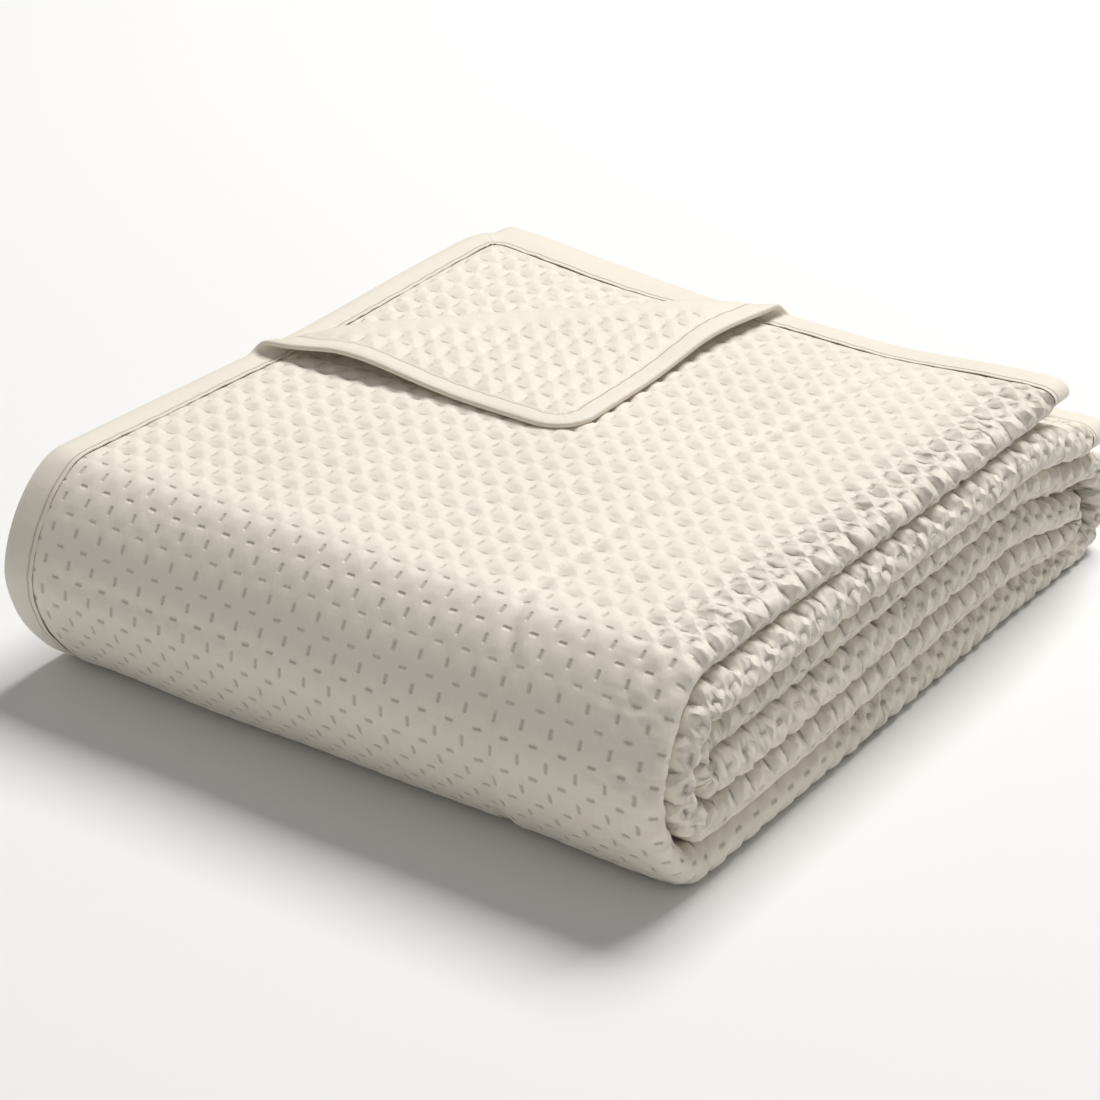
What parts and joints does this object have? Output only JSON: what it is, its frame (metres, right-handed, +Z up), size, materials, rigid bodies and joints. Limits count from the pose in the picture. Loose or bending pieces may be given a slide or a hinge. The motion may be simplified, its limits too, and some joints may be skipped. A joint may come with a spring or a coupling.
{
  "type": "bedspread",
  "caption": "Quilted bedspread with a plain bound edge, folded into a thick flat pile with one corner of the top sheet turned over.",
  "frame": {"origin": "middle of the pile's footprint, on the surface that it lies on", "axes": "+Z up through the layers, +X along the front roll to the right, +Y from the front roll to the bound ends at the back"},
  "size_m": [0.3875, 0.4594, 0.1337],
  "materials": {
    "quilted_cloth": "smooth brushed cream cloth, quilted in short dashes",
    "binding_cloth": "plain smooth cream cloth strip"
  },
  "bodies": {
    "root": {"quilted_panel": "quilted_cloth", "side_binding_first": "binding_cloth", "side_binding_second": "binding_cloth", "end_binding_top": "binding_cloth", "end_binding_second": "binding_cloth"}
  },
  "joints": []
}
